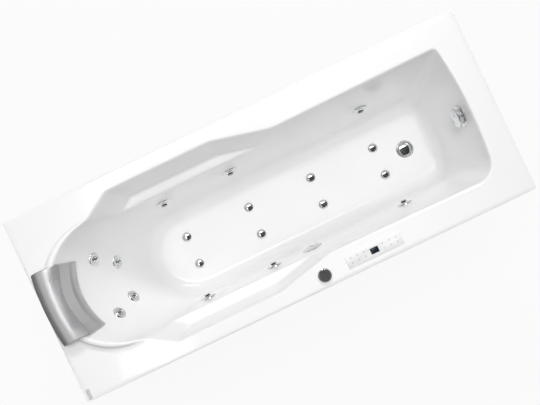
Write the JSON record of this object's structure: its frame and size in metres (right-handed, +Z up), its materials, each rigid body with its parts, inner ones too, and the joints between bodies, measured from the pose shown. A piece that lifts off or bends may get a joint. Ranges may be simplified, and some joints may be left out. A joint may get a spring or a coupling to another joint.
{
  "type": "jetted bathtub",
  "caption": "Built-in acrylic bathtub with side, back and floor jets, armrests, head pillow, pump, blower and pipework on a levelling frame.",
  "frame": {"origin": "on the floor under the middle of the deck", "axes": "+Z up; +X along the tub from the head end with the pillow to the foot end with the overflow; +Y to the far long side, away from the control panel"},
  "size_m": [1.75, 0.7, 0.6443],
  "materials": {
    "acrylic": "polished white acrylic sheet",
    "laminate": "rough sprayed glass-fibre laminate",
    "board": "resin-sealed chipboard",
    "timber": "planed softwood",
    "steel": "grey powder coat",
    "zinc": "zinc plated",
    "chrome": "polished chrome plate",
    "pipe_plastic": "moulded white pipe plastic",
    "hose": "pale flexible plastic",
    "cable": "black cable sleeve",
    "rubber": "black rubber",
    "foot": "black pad on a zinc plated stud",
    "pump_plastic": "black glass-filled plastic",
    "motor_paint": "dark grey painted casting",
    "motor_steel": "turned steel",
    "box_plastic": "grey moulded plastic",
    "panel_plastic": "white panel with soft gloss",
    "display": "dark display window",
    "pillow_skin": "silver-grey moulded foam skin"
  },
  "bodies": {
    "tub": {"air_jet_bodies": "pipe_plastic", "air_jet_caps": "chrome", "air_pipes": "hose", "air_valve_body": "pipe_plastic", "back_jet_bodies": "pipe_plastic", "back_jet_rims": "chrome", "base_board": "board", "blower_housing": "pump_plastic", "blower_pipes": "hose", "control_box": "box_plastic", "control_cables": "cable", "control_panel": "panel_plastic", "drain_body": "pipe_plastic", "drain_flange": "chrome", "drain_gasket": "rubber", "equipment_shelf": "board", "frame_cross_bars": "steel", "frame_fasteners": "zinc", "frame_posts": "steel", "frame_rails": "steel", "overflow_body": "pipe_plastic", "overflow_pipe": "pipe_plastic", "overflow_ring": "chrome", "panel_display": "display", "plug_cable": "cable", "pump_base": "pump_plastic", "pump_fan_cover": "pump_plastic", "pump_motor": "motor_paint", "pump_volute": "pump_plastic", "rim_battens": "timber", "shell_laminate": "laminate", "side_jet_bodies": "pipe_plastic", "side_jet_rims": "chrome", "suction_body": "pipe_plastic", "suction_cover": "chrome", "suction_pipe": "pipe_plastic", "suction_screw": "chrome", "tub_shell": "acrylic", "waste_trap": "pipe_plastic", "water_pipes": "pipe_plastic"},
    "nozzle_1": {"jet_nozzle_1": "chrome"},
    "nozzle_2": {"jet_nozzle_2": "chrome"},
    "nozzle_3": {"jet_nozzle_3": "chrome"},
    "nozzle_4": {"jet_nozzle_4": "chrome"},
    "nozzle_5": {"jet_nozzle_5": "chrome"},
    "nozzle_6": {"jet_nozzle_6": "chrome"},
    "back_rotor_1": {"back_jet_rotor_1": "chrome"},
    "back_rotor_2": {"back_jet_rotor_2": "chrome"},
    "back_rotor_3": {"back_jet_rotor_3": "chrome"},
    "back_rotor_4": {"back_jet_rotor_4": "chrome"},
    "overflow_control": {"overflow_knob": "chrome"},
    "plug": {"drain_plug": "chrome"},
    "air_regulator": {"air_regulator_knob": "chrome"},
    "pump_shaft": {"pump_rotor": "motor_steel"},
    "blower_shaft": {"blower_rotor": "motor_steel"},
    "head_pillow": {"pillow": "pillow_skin"},
    "foot_1": {"levelling_foot_1": "foot"},
    "foot_2": {"levelling_foot_2": "foot"},
    "foot_3": {"levelling_foot_3": "foot"},
    "foot_4": {"levelling_foot_4": "foot"}
  },
  "joints": [
    {"name": "nozzle_1_swivel", "type": "hinge", "parent": "tub", "child": "nozzle_1", "pos_m": [-0.354, -0.20242, 0.36896], "axis": [0.0001, -0.1883, 0.9821], "range_deg": [-15, 15]},
    {"name": "nozzle_2_swivel", "type": "hinge", "parent": "tub", "child": "nozzle_2", "pos_m": [-0.08, -0.20234, 0.36898], "axis": [0.0001, -0.1863, 0.9825], "range_deg": [-15, 15]},
    {"name": "nozzle_3_swivel", "type": "hinge", "parent": "tub", "child": "nozzle_3", "pos_m": [0.46, -0.20219, 0.369], "axis": [0.0001, -0.1821, 0.9833], "range_deg": [-15, 15]},
    {"name": "nozzle_4_swivel", "type": "hinge", "parent": "tub", "child": "nozzle_4", "pos_m": [-0.354, 0.20242, 0.36896], "axis": [0.0001, 0.1883, 0.9821], "range_deg": [-15, 15]},
    {"name": "nozzle_5_swivel", "type": "hinge", "parent": "tub", "child": "nozzle_5", "pos_m": [-0.08, 0.20234, 0.36897], "axis": [0.0001, 0.1863, 0.9825], "range_deg": [-15, 15]},
    {"name": "nozzle_6_swivel", "type": "hinge", "parent": "tub", "child": "nozzle_6", "pos_m": [0.46, 0.2022, 0.369], "axis": [0.0001, 0.1823, 0.9832], "range_deg": [-15, 15]},
    {"name": "back_rotor_1_spin", "type": "hinge", "parent": "tub", "child": "back_rotor_1", "pos_m": [-0.6614, -0.1082, 0.47171], "axis": [0.7053, 0.4036, 0.5829], "continuous": true},
    {"name": "back_rotor_2_spin", "type": "hinge", "parent": "tub", "child": "back_rotor_2", "pos_m": [-0.6614, 0.1082, 0.47171], "axis": [0.7053, -0.4036, 0.5829], "continuous": true},
    {"name": "back_rotor_3_spin", "type": "hinge", "parent": "tub", "child": "back_rotor_3", "pos_m": [-0.60513, -0.07115, 0.37572], "axis": [0.7769, 0.2981, 0.5547], "continuous": true},
    {"name": "back_rotor_4_spin", "type": "hinge", "parent": "tub", "child": "back_rotor_4", "pos_m": [-0.60513, 0.07115, 0.37572], "axis": [0.7769, -0.2981, 0.5547], "continuous": true},
    {"name": "overflow_knob_turn", "type": "hinge", "parent": "tub", "child": "overflow_control", "pos_m": [0.76474, 0, 0.50789], "axis": [-0.9768, 0, 0.2141], "range_deg": [0, 150]},
    {"name": "drain_plug_lift", "type": "slide", "parent": "tub", "child": "plug", "axis": [0, 0, 1], "range_m": [0, 0.01]},
    {"name": "air_regulator_turn", "type": "hinge", "parent": "tub", "child": "air_regulator", "pos_m": [0.07, -0.306, 0.6], "axis": [0, 0, 1], "range_deg": [0, 180]},
    {"name": "pump_rotor_spin", "type": "hinge", "parent": "tub", "child": "pump_shaft", "pos_m": [-0.748, -0.095, 0.218], "axis": [0, -1, 0], "continuous": true},
    {"name": "blower_rotor_spin", "type": "hinge", "parent": "tub", "child": "blower_shaft", "pos_m": [-0.748, 0.243, 0.16], "axis": [0, 0, 1], "continuous": true},
    {"name": "pillow_lift_off", "type": "slide", "parent": "tub", "child": "head_pillow", "axis": [0, 0, 1], "range_m": [0, 0.06]},
    {"name": "levelling_foot_1_extend", "type": "slide", "parent": "tub", "child": "foot_1", "axis": [0, 0, -1], "range_m": [0, 0.02]},
    {"name": "levelling_foot_2_extend", "type": "slide", "parent": "tub", "child": "foot_2", "axis": [0, 0, -1], "range_m": [0, 0.02]},
    {"name": "levelling_foot_3_extend", "type": "slide", "parent": "tub", "child": "foot_3", "axis": [0, 0, -1], "range_m": [0, 0.02]},
    {"name": "levelling_foot_4_extend", "type": "slide", "parent": "tub", "child": "foot_4", "axis": [0, 0, -1], "range_m": [0, 0.02]}
  ],
  "couplings": [
    {"joint": "drain_plug_lift", "follows": "overflow_knob_turn", "m_per_rad": 0.00381}
  ]
}
